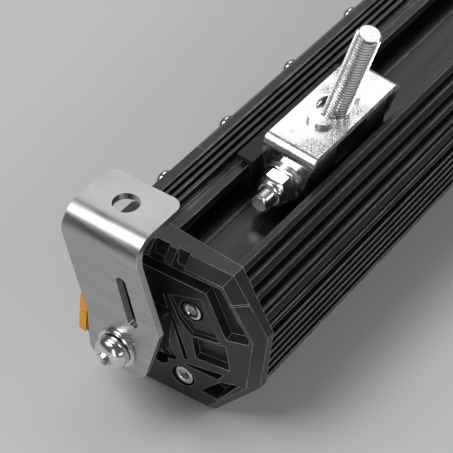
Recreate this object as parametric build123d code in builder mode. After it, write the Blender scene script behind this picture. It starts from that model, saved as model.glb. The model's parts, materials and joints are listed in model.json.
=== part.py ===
from build123d import *
from math import cos, sin, radians, sqrt
import os

# A finned LED light bar, lying with its mounting side up.
# X runs along the bar, -Y is the light-emitting front, +Y the finned back and +Z the mounting side.
# The origin is under the middle of the bar, on the plane that it rests on.

os.makedirs("parts", exist_ok=True)

# ---- driving dimensions, mm ----
HALF = 260.0            # half the length of the extrusion
HEIGHT = 78.0
FRONT = -30.0           # outer face of the bezel, y
BACK = 37.7             # tips of the fins on the rear flat, y
SHOULDER = 21.0         # where the rear chamfers begin, y
CHAMFER = 24.3          # height of each rear chamfer
BEZEL = 4.5             # thickness of the bezel
SEAT = FRONT + BEZEL    # face of the extrusion that the bezel sits on, y

CHANNEL_FLOOR = 62.0    # the mounting channel, let into the top
CHANNEL_LEFT = -16.6
CHANNEL_RIGHT = 18.5
LIP_EDGE = -10.3        # the channel's left lip ends here
LIP_TOP = 74.0
LIP_UNDER = 69.5
UNDERCUT_RIGHT = 21.5
UNDERCUT_TOP = 68.0
RUN = 0.4               # clearance of the sliding block in its channel

LENS_LOW, LENS_HIGH = 12.0, 60.0
OPTIC_LOW, OPTIC_HIGH = 15.0, 57.0
LENS_STEP = -20.5       # shoulder that the lens gasket bears on, y
OPTIC_BACK = -2.0       # wall that the LED board is screwed to, y
DRIVER_FRONT, DRIVER_BACK = 2.0, 14.0
DRIVER_LOW, DRIVER_HIGH = 21.0, 44.0

RIM = 5.7               # thickness of the end cap at the shoulder
CAP_SLOPE = 0.12        # the end cap grows thicker towards the front
CAP_BEVEL = 4.0

PIVOT_Y, PIVOT_Z = -9.2, 39.0
BRACKET_LEAN = -6.0     # degrees, the top of the end bracket leans to the front
SHEET = 3.0             # thickness of both kinds of bracket
LEG_OUT = HALF + 32.3   # outer face of the end bracket's leg, x
TOWER_TOP = HALF + 28.2

MOUNT_X = 178.4         # centre of the sliding mount, x
MOUNT_Y, MOUNT_Z = 4.0, 72.1
MOUNT_LEAN = 0.5        # degrees, the U bracket leans to the back
STUD_LEAN = 10.7        # degrees, the loose stud leans further
PLATE_HALF = 31.1       # half the length of the U bracket
PLATE_TOP = 17.2        # top of the U bracket above its bolt
PLATE_WIDE = 22.8
LUG_X, LUG_R, LUG_H = 8.6, 5.6, 2.0     # half-moon lugs either side of the stud

M4, M5, M8, M10 = 2.0, 2.5, 4.0, 5.0    # thread radii
HINGE_PLAY = 0.08       # radial clearance of a bracket on its bolt

bar_outline = [
    (FRONT, HEIGHT), (SHOULDER, HEIGHT), (BACK, HEIGHT - CHAMFER),
    (BACK, CHAMFER), (SHOULDER, 0), (FRONT, 0),
]
pieces = {}


def keep(builder, name):
    """Name a finished piece and write it."""
    builder.part.label = name
    pieces[name] = builder.part
    export_step(builder.part, f"parts/{name}.step")


def keep_pair(builder, name):
    """Write a piece of the right-hand end and its mirror image at the left-hand end."""
    keep(builder, f"{name}_right")
    with BuildPart() as left:
        mirror(builder.part, about=Plane.YZ)
    keep(left, f"{name}_left")


def window(y0, y1, z0, z1, mode=Mode.SUBTRACT):
    """A rectangle between two corners of a sketch in the YZ plane."""
    with Locations(((y0 + y1) / 2, (z0 + z1) / 2)):
        Rectangle(y1 - y0, z1 - z0, mode=mode)


def span(x0, x1, y0, y1, z0, z1, mode=Mode.ADD):
    """A box between two corners."""
    with Locations(((x0 + x1) / 2, (y0 + y1) / 2, (z0 + z1) / 2)):
        Box(x1 - x0, y1 - y0, z1 - z0, mode=mode)


def leaning(x, y, z, lean):
    """A plane across the bar whose second axis leans from upright towards the back."""
    turn = radians(lean)
    return Plane(origin=(x, y, z), x_dir=(0, cos(turn), -sin(turn)), z_dir=(1, 0, 0))


def hexagon(across_flats):
    RegularPolygon(radius=across_flats / sqrt(3), side_count=6)


# ---- housing: one extrusion with fins, mounting channel and two inner compartments ----

# Each gap between two fins: depths below the top edge where it starts and ends, and its root, y.
fin_gaps = [
    (2.4, 5.2, 20.8), (8.1, 10.9, 23.8), (13.0, 16.0, 23.8), (16.9, 18.0, 22.5), (20.6, 21.6, 20.0),
    (23.2, 26.3, 17.0), (27.9, 31.1, 17.0), (32.7, 35.8, 17.0),
]
FIN_REACH = BACK + 2.0
MID_GAP = 3.2           # gap between the two middle fins
FIN_ROOT = 17.0
top_grooves = [(-24.9, -23.8), (-22.6, -20.9), (-19.7, -18.0)]
GROOVE_DEPTH = 3.0
bottom_grooves = [-21.0 + 5.6 * i for i in range(7)]
GROOVE_WIDE = 2.6
PORT_X = -150.0         # the cable gland and the vent stand either side of here, on the back
GLAND_X, VENT_X = PORT_X - 22.0, PORT_X + 22.0
PORT_Z = HEIGHT / 2
rear_screws = [(7.2, 51.5), (7.6, 14.8)]
front_screws = [(-21.0, 67.5), (-21.0, 6.5)]
cap_screws = rear_screws + front_screws
CAP_HEAD, CAP_HEAD_R = 3.0, 4.25
CAP_RECESS = 5.2        # radius of the recess round a cap screw
cap_seats = [HALF + 6.8, HALF + 8.0, HALF + 6.5, HALF + 8.6]    # under each screw's head, x
TAPPED_DEEP = 18.0
EDGE_ROUND = 0.3        # radius along the fins and the channel


def on_rear_outline(v):
    """True for a point of the extrusion's section that lies on its rear chamfers or rear flat."""
    depth = min(v.Y, HEIGHT - v.Y)
    return abs(v.X - min(BACK, SHOULDER + (BACK - SHOULDER) * depth / CHAMFER)) < 0.01


screw_columns = [239.4, 199.2, 155.1, 111.0, 66.9, 22.8]
bezel_screw_places = [(s * x, z) for x in screw_columns for s in (-1, 1) for z in (5.8, 72.2)]
BEZEL_SCREW_LONG = 9.0

with BuildPart() as housing:
    with BuildSketch(Plane.YZ.offset(-HALF)):
        Polygon(
            (SEAT, HEIGHT), (SHOULDER, HEIGHT), (BACK, HEIGHT - CHAMFER),
            (BACK, CHAMFER), (SHOULDER, 0), (SEAT, 0), align=None)
        for start, end, root in fin_gaps:
            window(root, FIN_REACH, HEIGHT - end, HEIGHT - start)
            window(root, FIN_REACH, start, end)
        window(FIN_ROOT, FIN_REACH, (HEIGHT - MID_GAP) / 2, (HEIGHT + MID_GAP) / 2)
        window(CHANNEL_LEFT, CHANNEL_RIGHT, LIP_TOP, HEIGHT)
        window(LIP_EDGE, CHANNEL_RIGHT, CHANNEL_FLOOR, HEIGHT)
        window(CHANNEL_LEFT, LIP_EDGE, CHANNEL_FLOOR, LIP_UNDER)
        window(CHANNEL_RIGHT, UNDERCUT_RIGHT, CHANNEL_FLOOR, UNDERCUT_TOP)
        for left, right in top_grooves:
            window(left, right, HEIGHT - GROOVE_DEPTH, HEIGHT)
        for left in bottom_grooves:
            window(left, left + GROOVE_WIDE, 0, GROOVE_DEPTH)
        window(SEAT, LENS_STEP, LENS_LOW, LENS_HIGH)
        window(LENS_STEP, OPTIC_BACK, OPTIC_LOW, OPTIC_HIGH)
        window(DRIVER_FRONT, DRIVER_BACK, DRIVER_LOW, DRIVER_HIGH)
        for rib in (-15.7, -14.0):      # fine ribs on the lip, and one line along the floor
            window(rib, rib + 0.7, LIP_TOP, LIP_TOP + 0.8, Mode.ADD)
        window(-4.6, -3.6, CHANNEL_FLOOR, CHANNEL_FLOOR + 0.7, Mode.ADD)
        fillet([v for v in vertices() if v.Y > LIP_TOP - 0.1 or on_rear_outline(v)], EDGE_ROUND)
    extrude(amount=2 * HALF)
    # fins milled away round the gland and the vent, and the holes through the wall there
    span(PORT_X - 38, PORT_X + 38, FIN_ROOT, FIN_REACH, PORT_Z - 11.9, PORT_Z + 11.9, Mode.SUBTRACT)
    with BuildSketch(Plane.XZ.offset(-DRIVER_BACK)):
        with Locations((GLAND_X, PORT_Z), (VENT_X, PORT_Z)):
            Circle(6.0)
    extrude(amount=-(FIN_REACH - DRIVER_BACK), mode=Mode.SUBTRACT)
    # tapped holes for the end caps and for the bezel
    for end, inward in ((HALF, -1), (-HALF, 1)):
        with BuildSketch(Plane.YZ.offset(end)):
            with Locations(*cap_screws):
                Circle(M5)
        extrude(amount=inward * TAPPED_DEEP, mode=Mode.SUBTRACT)
    with BuildSketch(Plane.XZ.offset(-SEAT)):
        with Locations(*bezel_screw_places):
            Circle(M4)
    extrude(amount=-(BEZEL_SCREW_LONG - BEZEL + 0.5), mode=Mode.SUBTRACT)
keep(housing, "housing_extrusion")

# ---- bezel: a long frame and a C-shaped piece at each end of the window ----

BEZEL_END = 39.2
WINDOW_LOW, WINDOW_HIGH = 15.0, 57.0
WINDOW_HALF = 249.0
EDGE_BEVEL = 1.2
JOINT = HALF - BEZEL_END

with BuildPart() as bezel_top_and_bottom:
    for low, high in ((0, WINDOW_LOW), (WINDOW_HIGH, HEIGHT)):
        span(-JOINT, JOINT, FRONT, SEAT, low, high)
    # thin posts tie the two long rails together just inside the joints
    for x in (-JOINT, JOINT - 3.0):
        span(x, x + 3.0, FRONT + 2.2, SEAT, WINDOW_LOW, WINDOW_HIGH)
    chamfer([e for e in edges().filter_by(Axis.X)
             if e.center().Y < FRONT + 0.1 and not WINDOW_LOW < e.center().Z < WINDOW_HIGH], EDGE_BEVEL)
    with BuildSketch(Plane.XZ.offset(-FRONT)):
        with Locations(*[(x, z) for x, z in bezel_screw_places if abs(x) < JOINT]):
            Circle(M4)
    extrude(amount=-BEZEL, mode=Mode.SUBTRACT)
keep(bezel_top_and_bottom, "front_bezel")

with BuildPart() as bezel_end:
    span(JOINT, HALF, FRONT, SEAT, 0, HEIGHT)
    chamfer([e for e in edges().filter_by(Axis.X) if e.center().Y < FRONT + 0.1], EDGE_BEVEL)
    span(JOINT - 1, WINDOW_HALF, FRONT, SEAT, WINDOW_LOW, WINDOW_HIGH, Mode.SUBTRACT)
    with BuildSketch(Plane.XZ.offset(-FRONT)):
        with Locations(*[(x, z) for x, z in bezel_screw_places if x > JOINT]):
            Circle(M4)
    extrude(amount=-BEZEL, mode=Mode.SUBTRACT)
keep_pair(bezel_end, "bezel_end")

HEAD_R, HEAD_H = 4.75, 3.3
with BuildPart() as bezel_screws:
    with BuildSketch(Plane.XZ.offset(-FRONT)):
        with Locations(*bezel_screw_places):
            Circle(HEAD_R)
    extrude(amount=HEAD_H)
    rims = edges().filter_by(GeomType.CIRCLE).filter_by(lambda e: e.center().Y < FRONT - HEAD_H + 0.1)
    fillet(rims, 2.6)
    with BuildSketch(Plane.XZ.offset(-FRONT)):
        with Locations(*bezel_screw_places):
            Circle(M4)
    extrude(amount=-BEZEL_SCREW_LONG)
    with BuildSketch(Plane.XZ.offset(-FRONT + HEAD_H)):
        with Locations(*bezel_screw_places):
            hexagon(2.5)
    extrude(amount=-1.8, mode=Mode.SUBTRACT)
keep(bezel_screws, "bezel_screws")

# ---- lens, its gasket, reflector tray, LED board and driver ----

LENS_THICK = 4.0
LENS_HALF = HALF - 0.5
with BuildPart() as lens:
    span(-LENS_HALF, LENS_HALF, SEAT, SEAT + LENS_THICK, LENS_LOW + 0.2, LENS_HIGH - 0.2)
keep(lens, "lens")

with BuildPart() as lens_gasket:
    span(-LENS_HALF, LENS_HALF, SEAT + LENS_THICK, LENS_STEP, LENS_LOW + 0.2, LENS_HIGH - 0.2)
    span(-LENS_HALF + 8, LENS_HALF - 8, SEAT + LENS_THICK, LENS_STEP, OPTIC_LOW, OPTIC_HIGH, Mode.SUBTRACT)
keep(lens_gasket, "lens_gasket")

PAD_THICK, BOARD_THICK, CHIP_THICK = 0.5, 1.6, 0.7
BOARD_FACE = OPTIC_BACK - PAD_THICK - BOARD_THICK
CUPS_ALONG, CUPS_UP = 24, 2
CUP_PITCH = 21.0
CUP_MOUTH, CUP_FOOT = 9.9, 3.4
TRAY_HALF = HALF - 4.0
TRAY_BACK = BOARD_FACE - CHIP_THICK
OPTIC_MID = (OPTIC_LOW + OPTIC_HIGH) / 2

with BuildPart() as thermal_pad:
    span(-TRAY_HALF, TRAY_HALF, OPTIC_BACK - PAD_THICK, OPTIC_BACK, OPTIC_LOW + 1, OPTIC_HIGH - 1)
keep(thermal_pad, "thermal_pad")

with BuildPart() as led_board:
    span(-TRAY_HALF, TRAY_HALF, BOARD_FACE, OPTIC_BACK - PAD_THICK, OPTIC_LOW + 0.5, OPTIC_HIGH - 0.5)
keep(led_board, "led_board")

with BuildPart() as led_emitters:
    with BuildSketch(Plane.XZ.offset(-BOARD_FACE)):
        with Locations((0, OPTIC_MID)):
            with GridLocations(CUP_PITCH, CUP_PITCH, CUPS_ALONG, CUPS_UP):
                Rectangle(5.0, 5.0)
    extrude(amount=CHIP_THICK)
keep(led_emitters, "led_emitters")

with BuildPart() as reflector_tray:
    span(-TRAY_HALF, TRAY_HALF, LENS_STEP, TRAY_BACK, OPTIC_LOW + 0.3, OPTIC_HIGH - 0.3)
    with BuildSketch(Plane.YZ) as cup_side:
        with BuildLine():
            mouth = (LENS_STEP, CUP_MOUTH)
            belly = ((LENS_STEP + TRAY_BACK) / 2 + 1.0, 0.62 * CUP_MOUTH + 0.38 * CUP_FOOT + 0.9)
            foot = (TRAY_BACK, CUP_FOOT)
            Line((LENS_STEP, 0), mouth)
            ThreePointArc(mouth, belly, foot)
            Line(foot, (TRAY_BACK, 0))
            Line((TRAY_BACK, 0), (LENS_STEP, 0))
        make_face()
    cup = revolve(axis=Axis.Y, mode=Mode.PRIVATE)
    with Locations((0, 0, OPTIC_MID)):
        with GridLocations(CUP_PITCH, CUP_PITCH, CUPS_ALONG, 1):
            for rise in (-CUP_PITCH / 2, CUP_PITCH / 2):
                with Locations((0, 0, rise)):
                    add(cup, mode=Mode.SUBTRACT)
keep(reflector_tray, "reflector_tray")

DRIVER_HALF = 130.0
DRIVER_FACE = 5.2
with BuildPart() as driver_board:
    span(-DRIVER_HALF, DRIVER_HALF, DRIVER_FACE - BOARD_THICK, DRIVER_FACE, DRIVER_LOW, DRIVER_HIGH)
keep(driver_board, "driver_board")

with BuildPart() as driver_components:
    DRIVER_MID = (DRIVER_LOW + DRIVER_HIGH) / 2
    for x in (-105.0, -60.0, 60.0, 105.0):      # coils in square cans
        span(x - 6, x + 6, DRIVER_FACE, DRIVER_FACE + 6.5, DRIVER_MID - 6, DRIVER_MID + 6)
    for x in (-85.0, -40.0, 40.0, 85.0):        # round capacitors
        with BuildSketch(Plane.XZ.offset(-DRIVER_FACE)):
            with Locations((x, DRIVER_MID)):
                Circle(4.0)
        extrude(amount=-7.7)
    for x in (-15.0, 15.0):                     # flat power packages
        span(x - 5, x + 5, DRIVER_FACE, DRIVER_FACE + 2.3, DRIVER_MID - 4, DRIVER_MID + 4)
keep(driver_components, "driver_components")

# ---- end caps ----

STRETCH = sqrt(1 + CAP_SLOPE ** 2)
rim_plane = Plane(origin=(HALF + RIM, SHOULDER, 0), x_dir=(-CAP_SLOPE, 1, 0), z_dir=(1, CAP_SLOPE, 0))
cap_face = rim_plane.offset(CAP_BEVEL)


def on_cap(points):
    """Points given as (y, z), laid out on the sloping face of the end cap."""
    return [((y - SHOULDER) * STRETCH, z) for y, z in points]


# Sunken areas of the end cap's face: corners (y, z) and depth.
top_trough = [(-27, 72.6), (18.3, 72.6), (32.2, 52.6), (32.0, 50.0), (23.0, 46.8), (12.8, 66.6), (-27, 66.6)]
screw_field = [(-2.6, 56.8), (11.0, 62.0), (20.6, 43.4), (8.6, 40.4), (2.6, 46.0)]
panel = [(8.9, 39.6), (20.9, 42.4), (23.2, 43.6), (26.0, 30.8), (11.6, 28.8)]
long_groove = [(-4.6, 55.6), (-3.6, 55.8), (8.6, 25.6), (6.6, 25.0)]
side_groove = [(-8.5, 39.0), (-5.0, 39.8), (3.8, 22.4), (-1.5, 20.6)]
low_slot = [(7.0, 21.9), (8.6, 23.4), (23.9, 26.8), (21.8, 22.4)]
corner_pocket = [(15.4, 11.9), (22.6, 21.6), (30.9, 25.2), (22.6, 10.6)]
sunken = [(top_trough, 4.5), (screw_field, 1.8), (panel, 3.4), (long_groove, 3.2),
          (side_groove, 2.2), (low_slot, 3.0), (corner_pocket, 7.0)]
ACCENT_OFFSET = 5.2     # each accent insert's middle, above or below the pivot
TOWER_LONG = (-28.0, 0.4)       # the tower that carries the pivot, from front to back, y
TOWER_HALF = 10.3               # half its height
INSERT_BORE = 5.0
INSERT_DEEP = 20.0
GASKET = 1.0
cap_notches = [(-11.8, -5.6), (-2.3, 2.9)]


def gasket_shape():
    """A band round the inner compartments that steps round the upper rear screw."""
    window(SEAT + 1.0, DRIVER_BACK + 2.0, 9.2, 60.8, Mode.ADD)
    window(SEAT + 3.5, DRIVER_BACK - 0.5, 11.7, 58.3)
    with Locations(rear_screws[0]):
        Circle(6.0, mode=Mode.SUBTRACT)


with BuildPart() as end_cap:
    with BuildSketch(Plane.YZ.offset(HALF)):
        Polygon(*bar_outline, align=None)
    extrude(amount=16)
    split(bisect_by=rim_plane, keep=Keep.BOTTOM)
    with BuildSketch(rim_plane):
        Polygon(*on_cap(bar_outline), align=None)
    extrude(amount=CAP_BEVEL, taper=45)
    for corners, depth in sunken:
        with BuildSketch(cap_face):
            Polygon(*on_cap(corners), align=None)
        extrude(amount=-depth, mode=Mode.SUBTRACT)
    # slots down through the top bevel
    for left, right in cap_notches:
        with BuildSketch(cap_face.offset(1.0)):
            with Locations(on_cap([((left + right) / 2, 76.0)])[0]):
                RectangleRounded(right - left, 12.0, 1.2)
        extrude(amount=-6.0, mode=Mode.SUBTRACT)
    # a fine split line across the upper rear bevel
    span(HALF + 4.8, HALF + 12, 23, 31, 66.5, 67.0, Mode.SUBTRACT)
    # tower for the pivot
    with BuildSketch(Plane.YZ.offset(HALF + 5)):
        with Locations((sum(TOWER_LONG) / 2, PIVOT_Z)):
            RectangleRounded(TOWER_LONG[1] - TOWER_LONG[0], 2 * TOWER_HALF, 4.0)
    extrude(amount=TOWER_TOP - HALF - 5)
    chamfer(faces().sort_by(Axis.X)[-1].outer_wire().edges(), 1.0)
    # screw recesses and clearance holes
    with BuildSketch(Plane.YZ.offset(HALF)):
        with Locations(*cap_screws):
            Circle(M5 + 0.25)
    extrude(amount=20, mode=Mode.SUBTRACT)
    for place, seat in zip(cap_screws, cap_seats):
        with BuildSketch(Plane.YZ.offset(seat)):
            with Locations(place):
                Circle(CAP_RECESS)
        extrude(amount=20, mode=Mode.SUBTRACT)
    with BuildSketch(cap_face):
        with Locations(*on_cap([(-3.2, 19.6)])):
            Circle(3.2)
    extrude(amount=-5, mode=Mode.SUBTRACT)
    # bore for the threaded insert, pockets for the accent inserts, groove for the gasket
    with BuildSketch(Plane.YZ.offset(TOWER_TOP)):
        with Locations((PIVOT_Y, PIVOT_Z)):
            Circle(INSERT_BORE)
    extrude(amount=-INSERT_DEEP, mode=Mode.SUBTRACT)
    for side in (-1, 1):
        middle = PIVOT_Z + side * ACCENT_OFFSET
        span(HALF + 22, HALF + 26.8, FRONT, -25.5, middle - 4.0, middle + 4.0, Mode.SUBTRACT)
    with BuildSketch(Plane.YZ.offset(HALF)):
        gasket_shape()
    extrude(amount=GASKET, mode=Mode.SUBTRACT)
keep_pair(end_cap, "end_cap")

with BuildPart() as cap_gasket:
    with BuildSketch(Plane.YZ.offset(HALF)):
        gasket_shape()
    extrude(amount=GASKET)
keep_pair(cap_gasket, "end_cap_gasket")

with BuildPart() as cap_screw_set:
    for place, seat in zip(cap_screws, cap_seats):
        with BuildSketch(Plane.YZ.offset(seat)):
            with Locations(place):
                Circle(CAP_HEAD_R)
        extrude(amount=CAP_HEAD)
        with BuildSketch(Plane.YZ.offset(seat)):
            with Locations(place):
                Circle(M5)
        extrude(amount=-(seat - HALF + TAPPED_DEEP - 2))
        with BuildSketch(Plane.YZ.offset(seat + CAP_HEAD)):
            with Locations(place):
                hexagon(4.0)
        extrude(amount=-2.0, mode=Mode.SUBTRACT)
keep_pair(cap_screw_set, "end_cap_screws")

with BuildPart() as accent_inserts:
    for side in (-1, 1):
        middle = PIVOT_Z + side * ACCENT_OFFSET
        span(HALF + 22, HALF + 26.8, -30.0, -25.5, middle - 4.0, middle + 4.0)
        span(HALF + 21, HALF + 27.8, -32.0, TOWER_LONG[0], middle - 4.9, middle + 4.9)
    fillet([e for e in edges() if e.center().Y < -31.9], 1.2)
keep_pair(accent_inserts, "accent_inserts")

# ---- pivot: threaded insert, friction washer, end bracket, washers and bolt ----

with BuildPart() as pivot_insert:
    with BuildSketch(Plane.YZ.offset(TOWER_TOP)):
        with Locations((PIVOT_Y, PIVOT_Z)):
            Circle(INSERT_BORE)
            Circle(M8, mode=Mode.SUBTRACT)
    extrude(amount=-INSERT_DEEP)
keep_pair(pivot_insert, "pivot_insert")

with BuildPart() as friction_washer:
    with BuildSketch(Plane.YZ.offset(TOWER_TOP)):
        with Locations((PIVOT_Y, PIVOT_Z)):
            Circle(8.6)
            Circle(M8 + 0.1, mode=Mode.SUBTRACT)
    extrude(amount=1.0)
keep_pair(friction_washer, "friction_washer")

FOOT_FRONT, FOOT_BACK = -24.3, 9.8      # the foot's two sides, measured across the bracket
FOOT_TOP = 55.6                         # above the pivot
FOOT_EDGE = HALF + 2.0
BEND = 11.0                             # outer radius of the bend
HOLE_ACROSS, HOLE_X = -7.5, HALF + 14.5
HOLE_R = 5.25
leg_outline = [
    (FOOT_FRONT, FOOT_TOP + 1), (FOOT_FRONT, 47.7), (-14.0, 10.4), (-14.1, -11.4), (11.8, -11.4),
    (19.8, 16.3), (FOOT_BACK, 50.5), (FOOT_BACK, FOOT_TOP + 1),
]
with BuildPart() as end_bracket:
    with BuildSketch(leaning(HALF, PIVOT_Y, PIVOT_Z, BRACKET_LEAN)):
        Polygon(*leg_outline, align=None)
        fillet([v for v in vertices() if -15 < v.X < 18 and v.Y < 0], 6.0)
    extrude(amount=LEG_OUT - HALF)
    across = leaning(FOOT_EDGE, PIVOT_Y, PIVOT_Z, BRACKET_LEAN)
    side = Plane(origin=across.origin, x_dir=(1, 0, 0), z_dir=across.x_dir)
    with BuildSketch(side.offset(-40)):
        reach = LEG_OUT - FOOT_EDGE
        drop = side.y_dir.dot(across.y_dir)
        Polygon(
            (0, drop * FOOT_TOP), (reach, drop * FOOT_TOP), (reach, drop * -30),
            (reach - SHEET, drop * -30), (reach - SHEET, drop * (FOOT_TOP - SHEET)),
            (0, drop * (FOOT_TOP - SHEET)), align=None)
        fillet(vertices().filter_by(lambda v: v.X > reach - 0.1 and abs(abs(v.Y) - FOOT_TOP) < 0.1), BEND)
        fillet(vertices().filter_by(
            lambda v: abs(v.X - reach + SHEET) < 0.1 and abs(abs(v.Y) - FOOT_TOP + SHEET) < 0.1),
            BEND - SHEET)
    extrude(amount=80, mode=Mode.INTERSECT)
    upright = Axis((0, 0, 0), across.y_dir)
    fillet(edges().filter_by(upright).filter_by(lambda e: e.center().X < FOOT_EDGE + 0.1), 5.0)
    with BuildSketch(leaning(LEG_OUT, PIVOT_Y, PIVOT_Z, BRACKET_LEAN)):
        Circle(M8 + HINGE_PLAY)
        with Locations(Location((5.4, 26.35), -166.0 + 90)):
            SlotOverall(23.2, 4.6)
    extrude(amount=-SHEET, mode=Mode.SUBTRACT)
    foot_plane = Plane(
        origin=across.origin + across.y_dir * FOOT_TOP, x_dir=(1, 0, 0), z_dir=across.y_dir)
    with BuildSketch(foot_plane):
        step = foot_plane.y_dir.dot(across.x_dir)
        with Locations((HOLE_X - FOOT_EDGE, step * HOLE_ACROSS)):
            Circle(HOLE_R)
    extrude(amount=-SHEET, mode=Mode.SUBTRACT)
keep_pair(end_bracket, "end_bracket")

GAP = 0.05
WASHER = 1.6
SPRING = 2.0
with BuildPart() as pivot_washer:
    with BuildSketch(Plane.YZ.offset(LEG_OUT + GAP)):
        with Locations((PIVOT_Y, PIVOT_Z)):
            Circle(8.5)
            Circle(M8 + 0.1, mode=Mode.SUBTRACT)
    extrude(amount=WASHER)
    chamfer(edges().filter_by(GeomType.CIRCLE).group_by(SortBy.RADIUS)[-1].sort_by(Axis.X)[-1], 0.3)
keep_pair(pivot_washer, "pivot_flat_washer")

with BuildPart() as pivot_spring:
    with BuildSketch(Plane.YZ.offset(LEG_OUT + GAP + WASHER)):
        with Locations((PIVOT_Y, PIVOT_Z)):
            Circle(7.0)
            Circle(M8 + 0.1, mode=Mode.SUBTRACT)
        with Locations((PIVOT_Y + 5.5, PIVOT_Z)):
            Rectangle(5.0, 0.9, rotation=20, mode=Mode.SUBTRACT)
    extrude(amount=SPRING)
keep_pair(pivot_spring, "pivot_spring_washer")

BUTTON_R, BUTTON_H = 7.0, 4.4
HEAD_SEAT = LEG_OUT + GAP + WASHER + SPRING
with BuildPart() as pivot_bolt:
    with BuildSketch(Plane.YZ.offset(HEAD_SEAT)):
        with Locations((PIVOT_Y, PIVOT_Z)):
            Circle(BUTTON_R)
    extrude(amount=BUTTON_H)
    fillet(edges().sort_by(Axis.X)[-1], 3.7)
    with BuildSketch(Plane.YZ.offset(HEAD_SEAT)):
        with Locations((PIVOT_Y, PIVOT_Z)):
            Circle(M8)
    extrude(amount=-(HEAD_SEAT - TOWER_TOP + INSERT_DEEP - 2))
    with BuildSketch(Plane.YZ.offset(HEAD_SEAT + BUTTON_H)):
        with Locations((PIVOT_Y, PIVOT_Z)):
            hexagon(5.0)
    extrude(amount=-2.8, mode=Mode.SUBTRACT)
keep_pair(pivot_bolt, "pivot_bolt")

# ---- sliding mount: block in the channel, lengthwise bolt, U bracket and loose stud ----

BLOCK_HALF = PLATE_HALF - SHEET - 0.3
BODY_LEFT, BODY_RIGHT = MOUNT_Y - 10.2, MOUNT_Y + 10.2
BODY_TOP = MOUNT_Z + 11.5
FOOT_LOW = CHANNEL_FLOOR + 1.1
FLANGE_LOW, FLANGE_HIGH = LIP_TOP + 1.1, 77.0
STRIP_HALF = 34.6
NECK_LEFT = LIP_EDGE + RUN
STRIP_RIGHT = -8.5
POCKET_HALF = 10.8
BOLT_END = MOUNT_X + 47.1


def block_strip(right):
    """The part of the block's section that hooks round the channel's left lip."""
    window(CHANNEL_LEFT + RUN, right, FOOT_LOW, LIP_UNDER - RUN, Mode.ADD)
    window(NECK_LEFT, right, FOOT_LOW, FLANGE_HIGH, Mode.ADD)
    window(CHANNEL_LEFT + 0.7, right, FLANGE_LOW, FLANGE_HIGH, Mode.ADD)


with BuildPart() as sliding_block:
    with BuildSketch(Plane.YZ.offset(MOUNT_X - BLOCK_HALF)):
        window(BODY_LEFT, BODY_RIGHT, FOOT_LOW, BODY_TOP, Mode.ADD)
        fillet(vertices().group_by(Axis.Y)[-1], 4.0)
        window(BODY_LEFT, UNDERCUT_RIGHT - RUN, FOOT_LOW, UNDERCUT_TOP - RUN, Mode.ADD)
        block_strip(BODY_LEFT)
    extrude(amount=2 * BLOCK_HALF)
    with BuildSketch(Plane.YZ.offset(MOUNT_X - STRIP_HALF)):
        block_strip(STRIP_RIGHT)
    extrude(amount=2 * STRIP_HALF)
    upper = [e for e in edges().filter_by(Axis.Y)
             if e.center().Z > BODY_TOP - 0.1 and abs(abs(e.center().X - MOUNT_X) - BLOCK_HALF) < 0.1]
    fillet(upper, 3.5)
    span(MOUNT_X - POCKET_HALF, MOUNT_X + POCKET_HALF, BODY_LEFT - 1, BODY_RIGHT + 1,
         MOUNT_Z, BODY_TOP + 1, Mode.SUBTRACT)
    with BuildSketch(Plane.YZ.offset(MOUNT_X - BLOCK_HALF)):
        with Locations((MOUNT_Y, MOUNT_Z)):
            Circle(M8 + 0.1)
    extrude(amount=2 * BLOCK_HALF, mode=Mode.SUBTRACT)
keep_pair(sliding_block, "sliding_block")

STUD_HOLE = 6.8
STUD_SHIFT = 1.2        # the loose stud rests this far behind the middle of its hole

with BuildPart() as u_bracket:
    side_plane = leaning(MOUNT_X - PLATE_HALF, MOUNT_Y, MOUNT_Z, MOUNT_LEAN)
    with BuildSketch(side_plane):
        Circle(8.6)
        Polygon(
            (-8.5, -1.5), (8.5, -1.5), (PLATE_WIDE / 2, PLATE_TOP - 4.5), (PLATE_WIDE / 2, PLATE_TOP),
            (-PLATE_WIDE / 2, PLATE_TOP), (-PLATE_WIDE / 2, PLATE_TOP - 4.5), align=None)
    extrude(amount=2 * PLATE_HALF)
    along = Plane(origin=side_plane.origin, x_dir=(1, 0, 0), z_dir=side_plane.x_dir)
    with BuildSketch(along.offset(-30)):
        flip = along.y_dir.dot(side_plane.y_dir)
        with Locations((PLATE_HALF, flip * (PLATE_TOP - 30))):
            Rectangle(2 * PLATE_HALF, 60)
        fillet(vertices().filter_by(lambda v: abs(v.Y - flip * PLATE_TOP) < 0.1), 4.5)
        with Locations((PLATE_HALF, flip * (PLATE_TOP - SHEET - 30))):
            RectangleRounded(2 * (PLATE_HALF - SHEET), 60, 1.5, mode=Mode.SUBTRACT)
    extrude(amount=60, mode=Mode.INTERSECT)
    with BuildSketch(side_plane):
        Circle(M8 + HINGE_PLAY)
    extrude(amount=2 * PLATE_HALF, mode=Mode.SUBTRACT)
    plate_plane = Plane(
        origin=side_plane.origin + Vector(PLATE_HALF, 0, 0) + side_plane.y_dir * PLATE_TOP,
        x_dir=(1, 0, 0), z_dir=side_plane.y_dir)
    with BuildSketch(plate_plane):
        Circle(STUD_HOLE)
    extrude(amount=-SHEET, mode=Mode.SUBTRACT)
    # two pressed half-moon lugs, flat side to the stud
    for way in (-1, 1):
        with BuildSketch(plate_plane):
            with Locations((way * LUG_X, 0)):
                Circle(LUG_R)
            with Locations((way * LUG_X / 2, 0)):
                Rectangle(LUG_X, 3 * LUG_R, mode=Mode.SUBTRACT)
        extrude(amount=LUG_H)
keep_pair(u_bracket, "u_bracket")

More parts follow.
